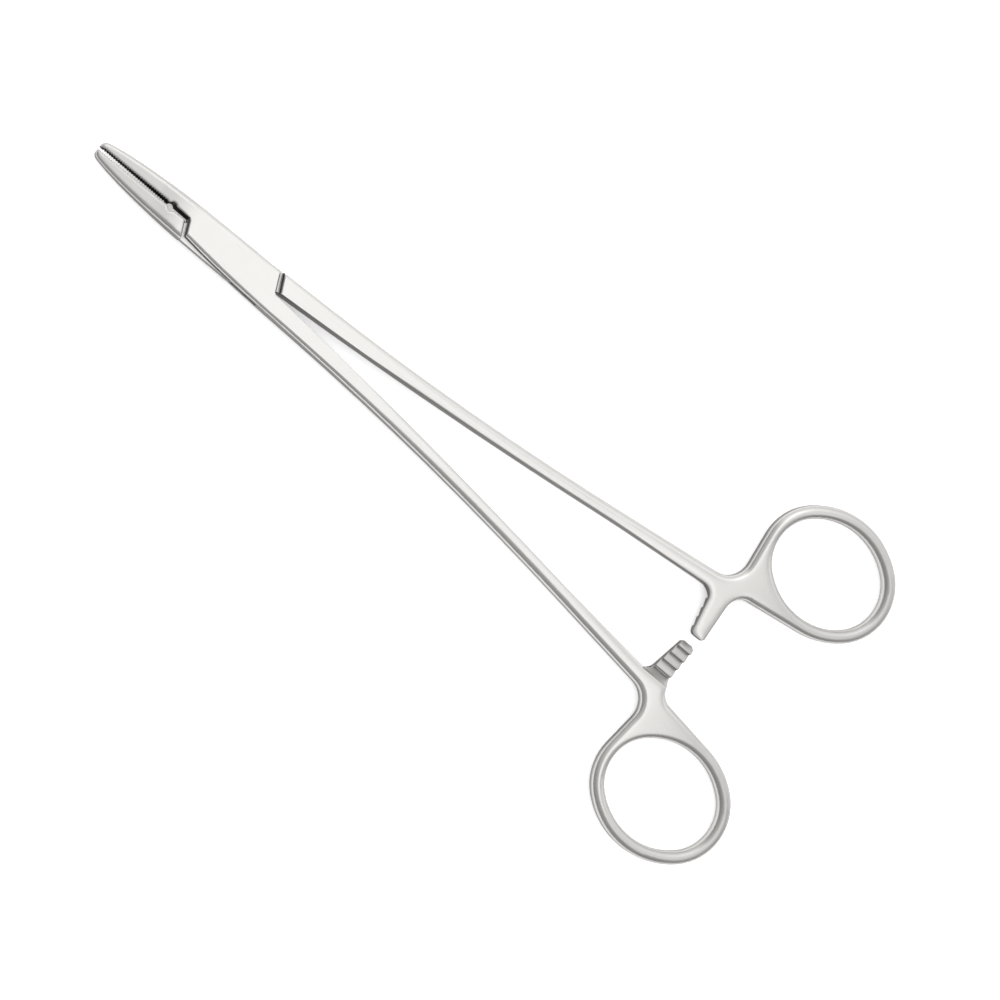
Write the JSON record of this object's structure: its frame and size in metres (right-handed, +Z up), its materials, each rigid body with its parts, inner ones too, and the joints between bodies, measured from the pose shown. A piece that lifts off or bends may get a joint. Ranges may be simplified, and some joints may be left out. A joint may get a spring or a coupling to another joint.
{
  "type": "surgical needle holder",
  "caption": "Straight surgical needle holder with a box lock, serrated jaws, ratchet arms and ring handles.",
  "frame": {"origin": "on the pivot axis, at the underside of the lock", "axes": "+X along the closing line to the jaw tips, +Y to the side of the through half's jaw, +Z up through the lock's thickness"},
  "size_m": [0.1999, 0.0904, 0.006],
  "materials": {
    "half_steel": "satin",
    "pin_steel": "satin"
  },
  "bodies": {
    "box": {"box_half": "half_steel", "pivot_pin": "pin_steel"},
    "through": {"through_half": "half_steel"}
  },
  "joints": [
    {"name": "lock_hinge", "type": "hinge", "parent": "box", "child": "through", "pos_m": [0, 0, 0], "axis": [0, 0, 1], "range_deg": [-1.35, 60]}
  ]
}
